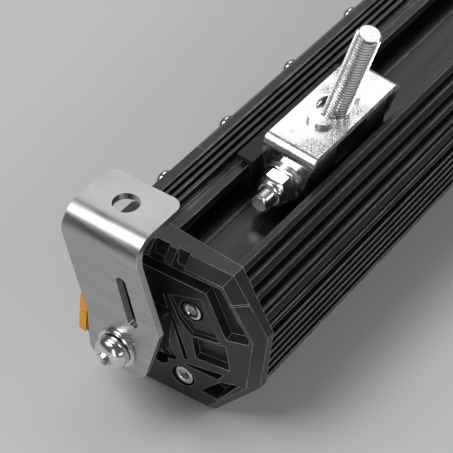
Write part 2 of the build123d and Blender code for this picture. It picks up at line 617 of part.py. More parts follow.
STUD_REACH = 45.7       # tip of the stud above the middle of the plate
HANG = 1.85             # the loose stud hangs this far below the plate
HEX_HEAD = 6.4
NECK_R = 4.5            # radius of the shank below the full thread
STUD_NECK = 6.0         # the full thread begins this far above the middle of the plate
stud_foot = Vector(MOUNT_X, MOUNT_Y, MOUNT_Z)
stud_foot += side_plane.y_dir * (PLATE_TOP - SHEET / 2) + side_plane.x_dir * STUD_SHIFT
stud_up = leaning(0, 0, 0, STUD_LEAN).y_dir
stud_plane = Plane(origin=stud_foot, x_dir=(1, 0, 0), z_dir=stud_up)
with BuildPart() as mount_stud:
    with BuildSketch(stud_plane.offset(STUD_NECK)):
        Circle(M10)
    extrude(amount=STUD_REACH - STUD_NECK)
    chamfer(edges().sort_by(Axis.Z)[-1], 0.9)
    with BuildSketch(stud_plane.offset(-SHEET / 2 - HANG)):
        Circle(NECK_R)
    extrude(amount=STUD_NECK + SHEET / 2 + HANG)
    with BuildSketch(stud_plane.offset(-SHEET / 2 - HANG)):
        hexagon(17.0)
    extrude(amount=-HEX_HEAD)
keep_pair(mount_stud, "mount_stud")

with BuildPart() as mount_bolt:
    with BuildSketch(Plane.YZ.offset(MOUNT_X - PLATE_HALF - GAP - WASHER)):
        with Locations((MOUNT_Y, MOUNT_Z)):
            hexagon(13.0)
    extrude(amount=-5.3)
    with BuildSketch(Plane.YZ.offset(MOUNT_X - PLATE_HALF - GAP - WASHER)):
        with Locations((MOUNT_Y, MOUNT_Z)):
            Circle(M8)
    extrude(amount=BOLT_END - MOUNT_X + PLATE_HALF + GAP + WASHER)
    chamfer(edges().sort_by(Axis.X)[-1], 0.9)
keep_pair(mount_bolt, "mount_bolt")

with BuildPart() as mount_washers:
    for start in (MOUNT_X + PLATE_HALF + GAP, MOUNT_X - PLATE_HALF - GAP - WASHER):
        with BuildSketch(Plane.YZ.offset(start)):
            with Locations((MOUNT_Y, MOUNT_Z)):
                Circle(8.5)
                Circle(M8, mode=Mode.SUBTRACT)
        extrude(amount=WASHER)
keep_pair(mount_washers, "mount_washers")

NUT_SEAT = MOUNT_X + PLATE_HALF + GAP + WASHER
NUT_HEX, COLLAR = 5.9, 2.1
with BuildPart() as lock_nut:
    with BuildSketch(Plane.YZ.offset(NUT_SEAT)):
        with Locations((MOUNT_Y, MOUNT_Z)):
            hexagon(13.0)
    extrude(amount=NUT_HEX)
    with BuildSketch(Plane.YZ.offset(NUT_SEAT)):
        with Locations((MOUNT_Y, MOUNT_Z)):
            Circle(7.1)
    extrude(amount=NUT_HEX, mode=Mode.INTERSECT)
    with BuildSketch(Plane.YZ.offset(NUT_SEAT + NUT_HEX)):
        with Locations((MOUNT_Y, MOUNT_Z)):
            Circle(5.8)
    extrude(amount=COLLAR)
    fillet(edges().filter_by(GeomType.CIRCLE).sort_by(Axis.X)[-1], 0.9)
    with BuildSketch(Plane.YZ.offset(NUT_SEAT)):
        with Locations((MOUNT_Y, MOUNT_Z)):
            Circle(M8)
    extrude(amount=NUT_HEX + COLLAR, mode=Mode.SUBTRACT)
    with BuildSketch(Plane.YZ.offset(NUT_SEAT + NUT_HEX)):
        with Locations((MOUNT_Y, MOUNT_Z)):
            Circle(4.8)
    extrude(amount=1.7, mode=Mode.SUBTRACT)
keep_pair(lock_nut, "lock_nut")

with BuildPart() as nut_ring:
    with BuildSketch(Plane.YZ.offset(NUT_SEAT + NUT_HEX)):
        with Locations((MOUNT_Y, MOUNT_Z)):
            Circle(4.8)
            Circle(M8, mode=Mode.SUBTRACT)
    extrude(amount=1.7)
keep_pair(nut_ring, "lock_nut_ring")

# ---- cable gland and breather vent on the back ----

with BuildPart() as cable_gland:
    with BuildSketch(Plane.XZ.offset(-DRIVER_BACK)):
        with Locations((GLAND_X, PORT_Z)):
            Circle(6.0)
    extrude(amount=-(FIN_ROOT - DRIVER_BACK))
    with BuildSketch(Plane.XZ.offset(-FIN_ROOT)):
        with Locations((GLAND_X, PORT_Z)):
            hexagon(17.0)
    extrude(amount=-5.0)
    with BuildSketch(Plane.XZ.offset(-FIN_ROOT - 5.0)):
        with Locations((GLAND_X, PORT_Z)):
            Circle(8.2)
    extrude(amount=-11.0)
    fillet(edges().filter_by(GeomType.CIRCLE).sort_by(Axis.Y)[-1], 3.5)
    with BuildSketch(Plane.XZ.offset(-DRIVER_BACK)):
        with Locations((GLAND_X, PORT_Z)):
            Circle(3.6)
    extrude(amount=-30, mode=Mode.SUBTRACT)
keep(cable_gland, "cable_gland")

with BuildPart() as breather_vent:
    with BuildSketch(Plane.XZ.offset(-DRIVER_BACK)):
        with Locations((VENT_X, PORT_Z)):
            Circle(6.0)
    extrude(amount=-(FIN_ROOT - DRIVER_BACK))
    with BuildSketch(Plane.XZ.offset(-FIN_ROOT)):
        with Locations((VENT_X, PORT_Z)):
            Circle(8.5)
    extrude(amount=-5.5)
    fillet(edges().filter_by(GeomType.CIRCLE).sort_by(Axis.Y)[-1], 1.5)
keep(breather_vent, "breather_vent")

print(len(pieces), "pieces")
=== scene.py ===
import json
from math import cos, sin, radians, pi
import bpy
import bmesh
from mathutils import Matrix, Vector

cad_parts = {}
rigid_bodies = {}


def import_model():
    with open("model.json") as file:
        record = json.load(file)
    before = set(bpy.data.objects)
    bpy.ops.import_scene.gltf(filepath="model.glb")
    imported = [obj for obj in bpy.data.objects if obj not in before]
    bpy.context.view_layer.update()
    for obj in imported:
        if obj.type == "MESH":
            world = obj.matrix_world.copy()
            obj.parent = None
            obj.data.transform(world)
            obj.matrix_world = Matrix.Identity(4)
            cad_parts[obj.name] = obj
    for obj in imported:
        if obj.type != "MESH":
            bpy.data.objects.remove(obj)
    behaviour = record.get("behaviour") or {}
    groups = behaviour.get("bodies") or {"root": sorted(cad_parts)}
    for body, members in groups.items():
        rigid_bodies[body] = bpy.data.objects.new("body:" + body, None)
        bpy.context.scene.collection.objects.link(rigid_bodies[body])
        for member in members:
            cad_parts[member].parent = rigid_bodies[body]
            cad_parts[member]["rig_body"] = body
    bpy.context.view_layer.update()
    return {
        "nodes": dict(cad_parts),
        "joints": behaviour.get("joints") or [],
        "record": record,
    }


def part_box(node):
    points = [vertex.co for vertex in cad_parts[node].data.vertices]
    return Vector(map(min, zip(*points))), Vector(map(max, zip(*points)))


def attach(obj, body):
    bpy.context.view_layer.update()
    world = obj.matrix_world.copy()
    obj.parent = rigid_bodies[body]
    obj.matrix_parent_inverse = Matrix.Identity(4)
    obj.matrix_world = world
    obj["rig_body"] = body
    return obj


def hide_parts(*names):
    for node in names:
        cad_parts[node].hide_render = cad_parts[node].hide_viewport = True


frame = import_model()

MM = 0.001
nodes = frame["nodes"]
SIDES = (("right", 1), ("left", -1))


# ---- material helpers ----

class Shader:
    """A node-based material: a Principled shader and small helpers to build its inputs."""

    def __init__(self, name, color, rough, metal=0.0, **sockets):
        self.mat = bpy.data.materials.new(name)
        self.mat.use_nodes = True
        self.tree = self.mat.node_tree
        self.bsdf = self.tree.nodes["Principled BSDF"]
        self.bsdf.inputs["Base Color"].default_value = (*color, 1)
        self.bsdf.inputs["Roughness"].default_value = rough
        self.bsdf.inputs["Metallic"].default_value = metal
        for key, value in sockets.items():
            self.bsdf.inputs[key.replace("_", " ")].default_value = value
        self.place = self.add("ShaderNodeTexCoord").outputs["Object"]
        self.normal = None

    def add(self, kind, **values):
        node = self.tree.nodes.new(kind)
        for key, value in values.items():
            if hasattr(node, key):
                setattr(node, key, value)
            else:
                node.inputs[key].default_value = value
        return node

    def link(self, a, b):
        self.tree.links.new(a, b)

    def stretched(self, scale, turn=(0, 0, 0)):
        """Object coordinates scaled along each axis, in cells per metre."""
        mapping = self.add("ShaderNodeMapping")
        mapping.inputs["Scale"].default_value = scale
        mapping.inputs["Rotation"].default_value = turn
        self.link(self.place, mapping.inputs["Vector"])
        return mapping.outputs["Vector"]

    def noise(self, scale, detail=3.0, rough=0.55, turn=(0, 0, 0)):
        tex = self.add("ShaderNodeTexNoise")
        tex.inputs["Scale"].default_value = 1.0
        tex.inputs["Detail"].default_value = detail
        tex.inputs["Roughness"].default_value = rough
        self.link(self.stretched(scale, turn), tex.inputs["Vector"])
        return tex.outputs["Fac"]

    def ramp(self, source, stops):
        node = self.add("ShaderNodeValToRGB")
        first, last = node.color_ramp.elements[0], node.color_ramp.elements[1]
        first.position, first.color = stops[0][0], (*stops[0][1], 1)
        last.position, last.color = stops[-1][0], (*stops[-1][1], 1)
        for where, color in stops[1:-1]:
            node.color_ramp.elements.new(where).color = (*color, 1)
        self.link(source, node.inputs["Fac"])
        return node.outputs["Color"]

    def spread(self, source, low, high):
        node = self.add("ShaderNodeMapRange")
        node.inputs["From Min"].default_value = 0.3
        node.inputs["From Max"].default_value = 0.7
        node.inputs["To Min"].default_value = low
        node.inputs["To Max"].default_value = high
        self.link(source, node.inputs["Value"])
        return node.outputs["Result"]

    def bump(self, source, height, strength=1.0):
        node = self.add("ShaderNodeBump")
        node.inputs["Distance"].default_value = height
        node.inputs["Strength"].default_value = strength
        self.link(source, node.inputs["Height"])
        if self.normal:
            self.link(self.normal, node.inputs["Normal"])
        self.normal = node.outputs["Normal"]
        self.link(self.normal, self.bsdf.inputs["Normal"])

    def edges(self, reach):
        """How near a point is to a rounded or broken edge, from 0 on a flat to 1 on the edge."""
        bevel = self.add("ShaderNodeBevel", samples=4)
        bevel.inputs["Radius"].default_value = reach
        normal = self.add("ShaderNodeNewGeometry").outputs["Normal"]
        dot = self.add("ShaderNodeVectorMath", operation="DOT_PRODUCT")
        self.link(bevel.outputs["Normal"], dot.inputs[0])
        self.link(normal, dot.inputs[1])
        ramp = self.add("ShaderNodeMapRange")
        ramp.inputs["From Min"].default_value = 0.995
        ramp.inputs["From Max"].default_value = 0.9
        self.link(dot.outputs["Value"], ramp.inputs["Value"])
        return ramp.outputs["Result"]

    def painted_edge_highlights(self, base, edge, reach):
        """The base colour, turning to a paler colour along edges, more in some places than in others:
        painted highlights standing in for glints on the small rounded edges.
        """
        patchy = self.add("ShaderNodeMath", operation="MULTIPLY")
        self.link(self.edges(reach), patchy.inputs[0])
        self.link(self.spread(self.noise((90, 90, 90), 3), 0.15, 1.0), patchy.inputs[1])
        mix = self.add("ShaderNodeMixRGB")
        self.link(patchy.outputs["Value"], mix.inputs["Fac"])
        self.link(base, mix.inputs["Color1"])
        mix.inputs["Color2"].default_value = (*edge, 1)
        self.color(mix.outputs["Color"])

    def color(self, source):
        self.link(source, self.bsdf.inputs["Base Color"])

    def roughness(self, source):
        self.link(source, self.bsdf.inputs["Roughness"])


def grey(value):
    return (value, value, value)


def anodised():
    """Black anodised extrusion: fine die lines along the bar, a faint cloudiness and painted highlights
    along the edges.
    """
    s = Shader("anodised_black", grey(0.008), 0.3, 0.0, Specular_IOR_Level=0.5)
    s.bump(s.noise((3, 1800, 1800), 4), 0.00002, 0.3)
    s.roughness(s.spread(s.noise((8, 260, 260), 4), 0.24, 0.36))
    base = s.ramp(s.noise((6, 60, 60), 3), [(0.3, grey(0.006)), (0.7, grey(0.011))])
    # painted highlights: pale grey along the edges stands in for glints on their small radii
    s.painted_edge_highlights(base, grey(0.8), 0.0004)
    return s.mat


def powder(name, base, rough, grain):
    """Powder coat: a fine even orange-peel, and painted highlights along the edges."""
    s = Shader(name, grey(base), rough, 0.0, Specular_IOR_Level=0.5)
    s.bump(s.noise((grain, grain, grain), 3), 0.00003, 0.3)
    s.roughness(s.spread(s.noise((120, 120, 120), 3), rough - 0.05, rough + 0.06))
    colour = s.ramp(s.noise((40, 40, 40), 3), [(0.3, grey(base * 0.8)), (0.7, grey(base * 1.25))])
    # painted highlights: pale grey along the edges stands in for glints on their small radii
    s.painted_edge_highlights(colour, grey(0.75), 0.0004)
    return s.mat


def brushed():
    """Brushed stainless sheet: long fine scratches and a broad sheen variation."""
    s = Shader("brushed_stainless", grey(0.5), 0.3, 1.0)
    s.bump(s.noise((900, 60, 2200), 5, 0.65), 0.00001, 0.3)
    s.roughness(s.spread(s.noise((120, 14, 600), 5), 0.26, 0.38))
    colour = s.ramp(s.noise((60, 10, 300), 4), [(0.3, grey(0.42)), (0.7, grey(0.52))])
    # painted highlights: paler colour along the edges stands in for glints on their small radii
    s.painted_edge_highlights(colour, grey(0.85), 0.0005)
    return s.mat


def zinc():
    """Bright zinc plate: small bright and dull specks."""
    s = Shader("zinc_bright", grey(0.86), 0.2, 1.0)
    s.roughness(s.spread(s.noise((900, 900, 900), 5), 0.14, 0.27))
    s.color(s.ramp(s.noise((1400, 1400, 1400), 3), [(0.3, (0.78, 0.78, 0.77)), (0.7, (0.94, 0.94, 0.92))]))
    return s.mat


def zinc_sheet():
    """Zinc plate over pressed sheet: slightly uneven, with a scatter of dull pits in places."""
    s = Shader("zinc_sheet", grey(0.8), 0.24, 1.0)
    s.bump(s.noise((75, 75, 75), 2), 0.0003, 1.0)
    pits = s.ramp(s.noise((1300, 1300, 1300), 3, 0.7), [(0.44, grey(0.22)), (0.56, grey(0.86))])
    where = s.ramp(s.noise((55, 55, 55), 2), [(0.5, grey(0)), (0.62, grey(1))])
    mix = s.add("ShaderNodeMixRGB")
    s.link(where, mix.inputs["Fac"])
    mix.inputs["Color1"].default_value = (0.86, 0.86, 0.85, 1)
    s.link(pits, mix.inputs["Color2"])
    s.color(mix.outputs["Color"])
    s.roughness(s.spread(s.noise((400, 400, 400), 4), 0.2, 0.32))
    return s.mat


def polished():
    """Turned and polished stainless steel."""
    s = Shader("polished_steel", grey(0.78), 0.18, 1.0)
    s.roughness(s.spread(s.noise((300, 300, 300), 4), 0.14, 0.24))
    s.color(s.ramp(s.noise((700, 700, 700), 3), [(0.3, grey(0.7)), (0.7, grey(0.84))]))
    return s.mat


def plain(name, color, rough, metal=0.0, grain=900, height=0.00003, **sockets):
    """Moulded material: a light grain and a slight change of colour."""
    s = Shader(name, color, rough, metal, **sockets)
    s.bump(s.noise((grain, grain, grain), 3), height, 0.5)
    s.roughness(s.spread(s.noise((150, 150, 150), 3), rough * 0.85, rough * 1.15))
    s.color(s.ramp(s.noise((50, 50, 50), 3), [
        (0.3, tuple(c * 0.88 for c in color)), (0.7, tuple(min(1, c * 1.1) for c in color))]))
    return s.mat


def clear_lens():
    s = Shader("lens_clear", (0.96, 0.98, 0.99), 0.03, 0.0, Transmission_Weight=1.0, IOR=1.49)
    s.bump(s.noise((40, 40, 40), 2), 0.00002, 0.2)
    return s.mat


finishes = {
    "anodised_black": anodised(),
    "bezel_black": powder("bezel_black", 0.009, 0.32, 1500),
    "cap_black": powder("cap_black", 0.02, 0.3, 1300),
    "polished_steel": polished(),
    "lens_clear": clear_lens(),
    "rubber_black": plain("rubber_black", grey(0.014), 0.7),
    "reflector_bright": plain("reflector_bright", grey(0.88), 0.06, 1.0, height=0.000005),
    "board_white": plain("board_white", (0.8, 0.82, 0.8), 0.5),
    "phosphor": plain("phosphor", (0.9, 0.68, 0.12), 0.35),
    "pad_grey": plain("pad_grey", (0.3, 0.32, 0.35), 0.8),
    "board_green": plain("board_green", (0.01, 0.12, 0.04), 0.45),
    "component_black": plain("component_black", grey(0.02), 0.5),
    "nylon_black": plain("nylon_black", grey(0.014), 0.5),
    "accent_orange": plain("accent_orange", (1.0, 0.38, 0.0), 0.4, Specular_IOR_Level=0.3),
    "insert_brass": plain("insert_brass", (0.7, 0.48, 0.18), 0.3, 1.0),
    "block_black": plain("block_black", grey(0.012), 0.5, grain=1600),
    "zinc_bright": zinc(),
    "zinc_sheet": zinc_sheet(),
    "nylon_white": plain("nylon_white", (0.75, 0.78, 0.82), 0.45),
    "brushed_stainless": brushed(),
}


def finish(obj, slot):
    obj.data.materials.clear()
    obj.data.materials.append(finishes[slot])


for entry in frame["record"]["subparts"]:
    finish(nodes[entry["node"]], entry["material_slot"])


# ---- mesh helpers ----

Y, Z = Vector((0, 1, 0)), Vector((0, 0, 1))
STEPS = 72              # points round a turned shape, a multiple of 12 so that hexagons keep their corners
SHARP = radians(38)     # edges that turn more than this stay crisp


class Shape:
    """Points and faces of one piece, built up from closed shells."""

    def __init__(self):
        self.points = []
        self.faces = []

    def turned(self, origin, axis, first, rings, ends=True):
        """Rings of (radius, height) round an axis, in mm. Either may be a function of the angle.

        Flat faces close both ends, or the last ring joins the first.
        """
        axis, first = Vector(axis).normalized(), Vector(first).normalized()
        second = axis.cross(first)
        start = len(self.points)
        for radius, height in rings:
            for step in range(STEPS):
                angle = 2 * pi * step / STEPS
                r = radius(angle) if callable(radius) else radius
                h = height(angle) if callable(height) else height
                spoke = first * cos(angle) + second * sin(angle)
                self.points.append((Vector(origin) + spoke * r + axis * h) * MM)
        count = len(rings)
        for ring in range(count - 1 if ends else count):
            low, high = start + ring * STEPS, start + (ring + 1) % count * STEPS
            for step in range(STEPS):
                after = (step + 1) % STEPS
                self.faces.append((low + step, low + after, high + after, high + step))
        if ends:
            self.faces.append(tuple(reversed(range(start, start + STEPS))))
            self.faces.append(tuple(range(start + (count - 1) * STEPS, start + count * STEPS)))

    def threaded(self, origin, axis, first, radius, pitch, low, high):
        """A screw thread between two heights, its profile carried round the axis as a helix."""
        axis, first = Vector(axis).normalized(), Vector(first).normalized()
        second = axis.cross(first)
        root = radius - 0.61 * pitch
        profile = ((radius, 0.0), (radius, 0.125), (root, 0.44), (root, 0.69))
        start, steps = len(self.points), 40
        turns = int((high - low) / pitch) + 3
        for step in range(turns * steps + 1):
            angle = 2 * pi * step / steps
            spoke = first * cos(angle) + second * sin(angle)
            for r, share in profile:
                height = min(high, max(low, low + pitch * (step / steps - 1 + share)))
                r = min(r, root + (high - height), root + (height - low))
                self.points.append((Vector(origin) + spoke * r + axis * height) * MM)
        wide = len(profile)
        for step in range(turns * steps):
            for place in range(wide - 1):
                here = start + step * wide + place
                self.faces.append((here, here + wide, here + wide + 1, here + 1))
            here, above = start + step * wide + wide - 1, start + (step + steps) * wide
            if step + steps < turns * steps:
                self.faces.append((here, here + wide, above + wide, above))

    def piece(self, name, slot, body, *stands_for):
        """The finished object, riding on its body and standing for its CAD nodes."""
        built = bmesh.new()
        corners = [built.verts.new(p) for p in self.points]
        for face in self.faces:
            built.faces.new([corners[i] for i in face])
        return settle(name, built, slot, body, stands_for)


def settle(name, built, slot, body, stands_for):
    """Merge, close and smooth a bmesh, and put it in the scene on its body."""
    bmesh.ops.remove_doubles(built, verts=built.verts, dist=2e-7)
    bmesh.ops.dissolve_degenerate(built, edges=built.edges, dist=1e-7)
    open_edges = [e for e in built.edges if e.is_boundary]
    if open_edges:
        bmesh.ops.holes_fill(built, edges=open_edges, sides=0)
    bmesh.ops.recalc_face_normals(built, faces=built.faces)
    mesh = bpy.data.meshes.new(name)
    built.to_mesh(mesh)
    built.free()
    obj = bpy.data.objects.new(name, mesh)
    bpy.context.scene.collection.objects.link(obj)
    mesh.shade_smooth()
    mesh.set_sharp_from_angle(angle=SHARP)
    finish(obj, slot)
    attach(obj, body)
    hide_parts(*stands_for)
    return obj


slot_of = {entry["node"]: entry["material_slot"] for entry in frame["record"]["subparts"]}


def softened(node, width, segments=2, angle=28):
    """The CAD node's own shape with its sharp edges rounded, in mm."""
    built = bmesh.new()
    built.from_mesh(nodes[node].data)
    bmesh.ops.remove_doubles(built, verts=built.verts, dist=1e-6)
    bmesh.ops.dissolve_limit(built, angle_limit=radians(0.4), verts=built.verts, edges=built.edges)
    obj = settle(node + "_softened", built, slot_of[node], nodes[node]["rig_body"], [node])
    for edge in obj.data.edges:
        edge.use_edge_sharp = False
    bevel = obj.modifiers.new("edges", "BEVEL")
    bevel.width = width * MM
    bevel.segments = segments
    bevel.limit_method = "ANGLE"
    bevel.angle_limit = radians(angle)
    bevel.miter_outer = "MITER_ARC"
    even = obj.modifiers.new("normals", "WEIGHTED_NORMAL")
    even.weight = 90
    graph = bpy.context.evaluated_depsgraph_get()
    baked = bpy.data.meshes.new_from_object(obj.evaluated_get(graph))
    obj.modifiers.clear()
    obj.data = baked
    return obj


def six_sided(across_flats, bulge=0.0):
    """Radius of a hexagon at an angle, with corners at 0, 60, 120 degrees and so on."""
    return lambda angle: across_flats / 2 / cos((angle % (pi / 3)) - pi / 6) + bulge


def chamfered(across_flats, height, inner, slope=0.577):
    """Height of a hexagon's end where a cone trims its corners, falling outside the inner radius."""
    side = six_sided(across_flats)
    return lambda angle: height - max(0.0, side(angle) - inner) * slope


def middle(node):
    low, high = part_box(node)
    return (low + high) / 2 / MM


# ---- fasteners ----

def washer(shape, origin, axis, inner, outer, thick, edge=0.25):
    """A flat washer with eased edges, upwards from its underside."""
    shape.turned(origin, axis, Y, [
        (inner, 0.1), (inner + 0.1, 0), (outer - edge, 0), (outer, edge), (outer, thick - edge),
        (outer - edge, thick), (inner + 0.15, thick), (inner, thick - 0.15)], ends=False)


def button_head(shape, origin, axis, first, radius, height, socket, deep, shank, reach):
    """A dome head with a hexagon socket, over a plain shank that reaches down behind it."""
    dome = []
    rim = 0.12 * height
    for step in range(9):
        angle = radians(8 + 8.6 * step)
        dome.append((radius * cos(angle) ** 0.72, rim + (height - rim) * sin(angle)))
    flat = dome[-1][0]
    mouth = socket / 2 * 1.16 + 0.12
    dome = [ring for ring in dome if ring[0] > mouth + 0.25]
    shape.turned(origin, axis, first, [
        (shank, -reach), (shank, 0), (radius - 0.25, 0), (radius, 0.25), *dome,
        (max(mouth, min(flat, dome[-1][0] - 0.2)), height), (mouth, height),
        (six_sided(socket), height - 0.3), (six_sided(socket), height - deep)])


def socket_head(shape, origin, axis, radius, height, socket, shank, reach):
    """A low cylinder head with a hexagon socket."""
    shape.turned(origin, axis, Y, [
        (shank, -reach), (shank, 0), (radius - 0.2, 0), (radius, 0.2), (radius, height - 0.55),
        (radius - 0.18, height - 0.16), (radius - 0.6, height), (socket * 0.64, height),
        (six_sided(socket), height - 0.3), (six_sided(socket), height - 1.9)])


def hexagon_head(shape, origin, axis, first, across_flats, height, inner):
    """A hexagon with its top corners trimmed by a cone, and a thin round face under it."""
    side = six_sided(across_flats)
    shape.turned(origin, axis, first, [
        (inner, 0), (inner + 0.05, 0.25), (side, 0.25), (side, chamfered(across_flats, height, inner)),
        (inner, height)])


def spring_washer(shape, origin, axis, inner, outer, thick):
    """A split ring: one turn of a square section that climbs a little, with a gap between its ends."""
    axis = Vector(axis)
    gap, climb, steps = radians(12), 0.5, 64
    start = len(shape.points)
    corners = ((inner, 0.0), (outer - 0.2, 0.0), (outer, 0.2), (outer, thick - climb - 0.2),
               (outer - 0.2, thick - climb), (inner, thick - climb))
    for step in range(steps + 1):
        share = step / steps
        angle = radians(140) + gap / 2 + (2 * pi - gap) * share
        spoke = Y * cos(angle) + axis.cross(Y) * sin(angle)
        for radius, height in corners:
            shape.points.append((Vector(origin) + spoke * radius + axis * (height + climb * share)) * MM)
    wide = len(corners)
    for step in range(steps):
        for place in range(wide):
            here, beside = start + step * wide + place, start + step * wide + (place + 1) % wide
            shape.faces.append((here, beside, beside + wide, here + wide))
    shape.faces.append(tuple(range(start, start + wide)))
    shape.faces.append(tuple(range(start + steps * wide, start + (steps + 1) * wide)))


def pivot_fasteners(side, sign):
    """Button-head bolt, spring washer, flat washer and friction washer of an end bracket's pivot."""
    axis = Vector((sign, 0, 0))

    def at(node, face):
        """The point on the pivot's axis at a node's inner (0) or outer (1) face."""
        low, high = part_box(f"{node}_{side}")
        ends = sorted((low.x * sign, high.x * sign))
        centre = middle(f"pivot_bolt_{side}")
        return Vector((sign * ends[face] / MM, centre.y, centre.z))

    head = at("pivot_spring_washer", 1)
    tip = at("pivot_bolt", 0)
    height = (at("pivot_bolt", 1) - head).length
    bolt = Shape()
    button_head(bolt, head, axis, Y, 7.0, height, 5.4, 3.4, 4.0, (head - tip).length)
    bolt.piece(f"pivot_bolt_head_{side}", "polished_steel", "bar", f"pivot_bolt_{side}")
    for node, inner, outer, slot in (("pivot_flat_washer", 4.15, 8.5, "polished_steel"),
                                     ("friction_washer", 4.15, 8.6, "rubber_black")):
        ring = Shape()
        low = at(node, 0)
        washer(ring, low, axis, inner, outer, (at(node, 1) - low).length)
        ring.piece(f"{node}_turned_{side}", slot, "bar", f"{node}_{side}")
    split = Shape()
    low = at("pivot_spring_washer", 0)
    spring_washer(split, low, axis, 4.15, 7.0, (head - low).length)
    split.piece(f"pivot_split_washer_{side}", "polished_steel", "bar", f"pivot_spring_washer_{side}")


def mount_fasteners(side, sign):
    """Threaded lengthwise bolt, its two washers, the locking nut and its nylon ring."""
    axis = Vector((sign, 0, 0))
    body = f"mount_slider_{side}"
    centre = middle(f"lock_nut_{side}")

    def span(node):
        low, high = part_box(f"{node}_{side}")
        ends = sorted((low.x * sign / MM, high.x * sign / MM))
        return [Vector((sign * x, centre.y, centre.z)) for x in ends]

    bolt_head, bolt_end = span("mount_bolt")
    washer_low = span("mount_washers")[0]
    nut_low, nut_high = span("lock_nut")
    length = (bolt_end - washer_low).length
    shape = Shape()
    thread_from = (nut_low - washer_low).length + 1.0
    shape.turned(washer_low, axis, Y, [(3.98, 0), (3.98, thread_from)])
    shape.threaded(washer_low, axis, Y, 4.0, 1.25, thread_from - 0.2, length)
    hexagon_head(shape, washer_low, -axis, Y, 13.0, (washer_low - bolt_head).length, 6.1)
    shape.piece(f"mount_bolt_threaded_{side}", "zinc_bright", body, f"mount_bolt_{side}")
    shape = Shape()
    thick = 1.6
    for place in (nut_low - axis * thick, washer_low):
        washer(shape, place, axis, 4.05, 8.5, thick, 0.3)
    shape.piece(f"mount_washers_turned_{side}", "zinc_bright", body, f"mount_washers_{side}")
    shape = Shape()
    tall = (nut_high - nut_low).length
    side_of = six_sided(13.0)
    shape.turned(nut_low, axis, Y, [
        (4.05, 0.5), (4.6, 0), (6.15, 0), (side_of, lambda a: max(0.0, side_of(a) - 6.15) * 0.577),
        (side_of, chamfered(13.0, 5.9, 6.25)), (6.1, 5.95), (5.75, 6.3), (5.75, tall - 0.8),
        (5.55, tall - 0.3), (5.1, tall), (4.85, tall - 0.1), (4.8, tall - 0.35), (4.8, 5.9),
        (4.05, 5.9)], ends=False)
    shape.piece(f"lock_nut_chamfered_{side}", "zinc_bright", body, f"lock_nut_{side}")
    shape = Shape()
    shape.turned(nut_low, axis, Y, [
        (4.02, 5.95), (4.75, 5.95), (4.75, 7.3), (4.55, 7.55), (4.2, 7.55), (4.02, 7.3)], ends=False)
    shape.piece(f"lock_nut_ring_turned_{side}", "nylon_white", body, f"lock_nut_ring_{side}")


def stud(side, sign):
    """The loose threaded stud with its hexagon head under the U bracket."""
    mount = next(m for m in frame["record"]["mounts"] if m["name"] == f"stud_{side}")
    axis = Vector(mount["axis"]).normalized()
    hinge = next(j for j in frame["joints"] if j["name"] == f"stud_sway_{side}")
    foot = Vector(hinge["pos_m"]) / MM
    end_chamfer = 0.9
    tip = (Vector(mount["pos_m"]) / MM - foot).dot(axis) + mount["dims"]["length_mm"] / 2 + end_chamfer
    under = -3.35       # the head's face, from the middle of the plate: half the sheet and the stud's play
    shape = Shape()
    shape.threaded(foot, axis, Vector((1, 0, 0)), 5.0, 1.5, under - 0.2, tip)
    hexagon_head(shape, foot + axis * under, -axis, Vector((1, 0, 0)), 17.0, 6.4, 8.0)
    shape.piece(f"mount_stud_threaded_{side}", "zinc_bright", f"mount_stud_{side}", f"mount_stud_{side}")


def cap_screws(side, sign):
    """The four socket screws of an end cap: a head wherever the CAD node has one."""
    shape, tall = Shape(), 3.0
    middle_y, middle_z = -0.007, 0.039      # between the screws, in metres
    axis = Vector((sign, 0, 0))
    heads = {}
    for v in nodes[f"end_cap_screws_{side}"].data.vertices:
        quarter = (v.co.y > middle_y, v.co.z > middle_z)
        heads.setdefault(quarter, []).append(v.co / MM)
    for points in heads.values():
        centre = [(min(p[i] for p in points) + max(p[i] for p in points)) / 2 for i in range(3)]
        top = max(p.x * sign for p in points)
        foot = min(p.x * sign for p in points)
        seat = Vector((sign * (top - tall), centre[1], centre[2]))
        socket_head(shape, seat, axis, 4.25, tall, 4.0, 2.5, top - tall - foot)
    shape.piece(f"end_cap_screws_turned_{side}", "polished_steel", "bar", f"end_cap_screws_{side}")


def bezel_screws():
    """Dome-head screws along the bezel's two long edges, at the CAD heads' places."""
    low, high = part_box("bezel_screws")
    shape = Shape()
    radius, tall = 4.75, 3.3
    face = low.y / MM + tall
    across = sorted(v.co.x / MM for v in nodes["bezel_screws"].data.vertices)
    heads = [[across[0]]]
    for x in across[1:]:
        if x - heads[-1][-1] > radius:
            heads.append([])
        heads[-1].append(x)
    for points in heads:
        x = (points[0] + points[-1]) / 2
        for z in (low.z / MM + radius, high.z / MM - radius):
            button_head(shape, (x, face, z), -Y, Z, radius, tall, 2.5, 1.8, 2.0, 9.0)
    shape.piece("bezel_screws_turned", "polished_steel", "bar", "bezel_screws")


# ---- fittings on the back ----

